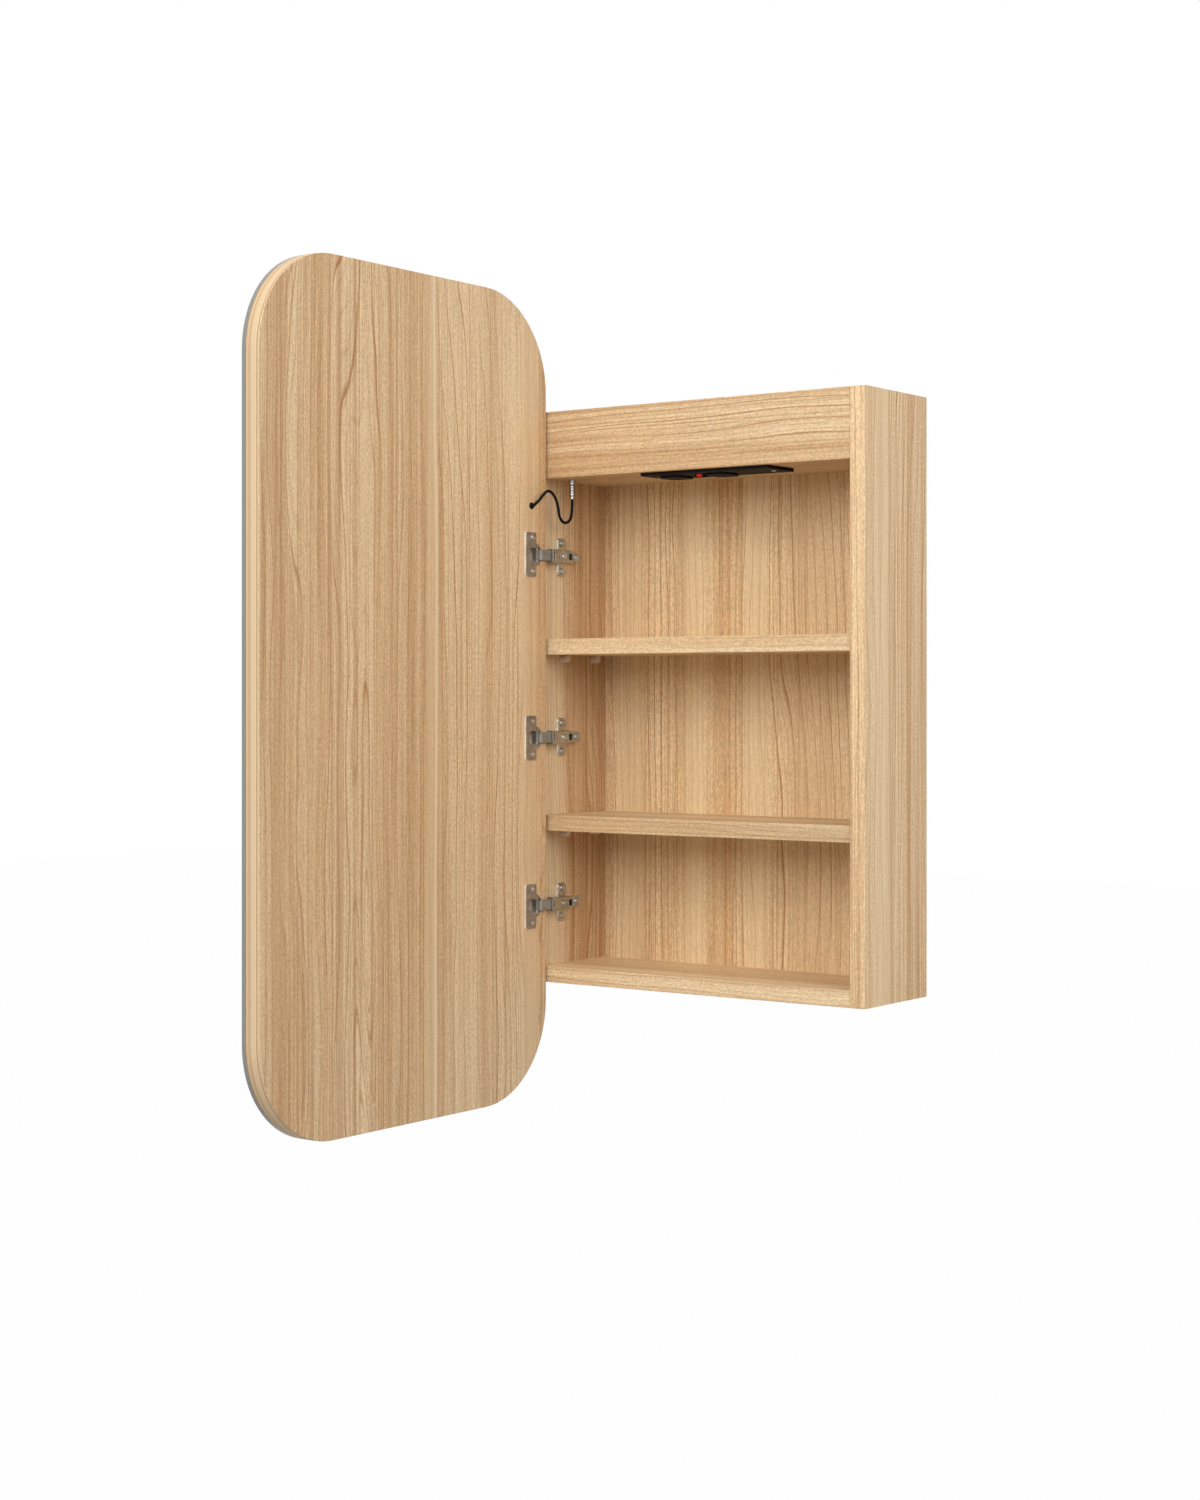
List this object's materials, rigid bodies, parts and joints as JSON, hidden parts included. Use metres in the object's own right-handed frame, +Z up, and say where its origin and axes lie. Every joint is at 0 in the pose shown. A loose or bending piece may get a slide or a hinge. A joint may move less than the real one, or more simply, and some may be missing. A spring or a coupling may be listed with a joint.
{
  "type": "shaving cabinet",
  "caption": "Wall-hung shaving cabinet with a rounded mirror door on concealed hinges, wood-grain case, shelves, hidden service bay, power outlet and a cabled door light.",
  "frame": {"origin": "middle of the back face, on the wall", "axes": "+X to the right seen from the front, +Y towards the wall, +Z up; the door stands open a quarter turn at rest"},
  "size_m": [0.44, 0.6025, 0.9],
  "materials": {
    "oak_laminate": "satin",
    "dowel_wood": "matte",
    "mirror": "polished",
    "strip_white": "matte",
    "clear_plastic": "gloss",
    "driver_white": "matte",
    "red_plastic": "gloss",
    "black_plastic": "satin",
    "cable_black": "matte",
    "plug_metal": "polished",
    "screw_steel": "satin",
    "hinge_nickel": "satin"
  },
  "bodies": {
    "case": {"arm_adjusting_screws": "screw_steel", "arm_pins": "screw_steel", "arm_tail_screws": "screw_steel", "back_panel": "oak_laminate", "bottom_panel": "oak_laminate", "cable_plug": "plug_metal", "cable_socket": "plug_metal", "case_dowels": "dowel_wood", "divider_panel": "oak_laminate", "door_cable": "cable_black", "driver_screws": "screw_steel", "fascia_panel": "oak_laminate", "lamp_driver": "driver_white", "left_side_panel": "oak_laminate", "left_socket": "black_plastic", "lower_hinge_arm": "hinge_nickel", "lower_mounting_plate": "hinge_nickel", "lower_shelf": "oak_laminate", "middle_hinge_arm": "hinge_nickel", "middle_mounting_plate": "hinge_nickel", "outlet_back_box": "black_plastic", "outlet_plate": "black_plastic", "outlet_screws": "screw_steel", "plate_screws": "screw_steel", "right_side_panel": "oak_laminate", "right_socket": "black_plastic", "shelf_pegs": "clear_plastic", "top_panel": "oak_laminate", "upper_hinge_arm": "hinge_nickel", "upper_mounting_plate": "hinge_nickel", "upper_shelf": "oak_laminate"},
    "hinge_links": {"lower_hinge_link": "hinge_nickel", "middle_hinge_link": "hinge_nickel", "upper_hinge_link": "hinge_nickel"},
    "door": {"cable_grommet": "cable_black", "cup_pins": "screw_steel", "cup_screws": "screw_steel", "door_board": "oak_laminate", "light_strip": "strip_white", "lower_hinge_cup": "hinge_nickel", "middle_hinge_cup": "hinge_nickel", "mirror_glass": "mirror", "upper_hinge_cup": "hinge_nickel"},
    "rocker": {"rocker": "black_plastic", "rocker_mark": "red_plastic"}
  },
  "joints": [
    {"name": "link_swing", "type": "hinge", "parent": "case", "child": "hinge_links", "pos_m": [-0.18898, -0.12518, 0], "axis": [0, 0, 1], "range_deg": [-46.6, 1.3]},
    {"name": "door_swing", "type": "hinge", "parent": "hinge_links", "child": "door", "pos_m": [-0.1942, -0.1511, 0], "axis": [0, 0, 1], "range_deg": [-3.81, 136.61], "deforming": ["door_cable"]},
    {"name": "rocker_tip", "type": "hinge", "parent": "case", "child": "rocker", "pos_m": [-0.0015, -0.101, 0.2459], "axis": [1, 0, 0], "range_deg": [-18, 0]}
  ],
  "couplings": [
    {"joint": "door_swing", "follows": "link_swing", "ratio": -2.9313}
  ]
}
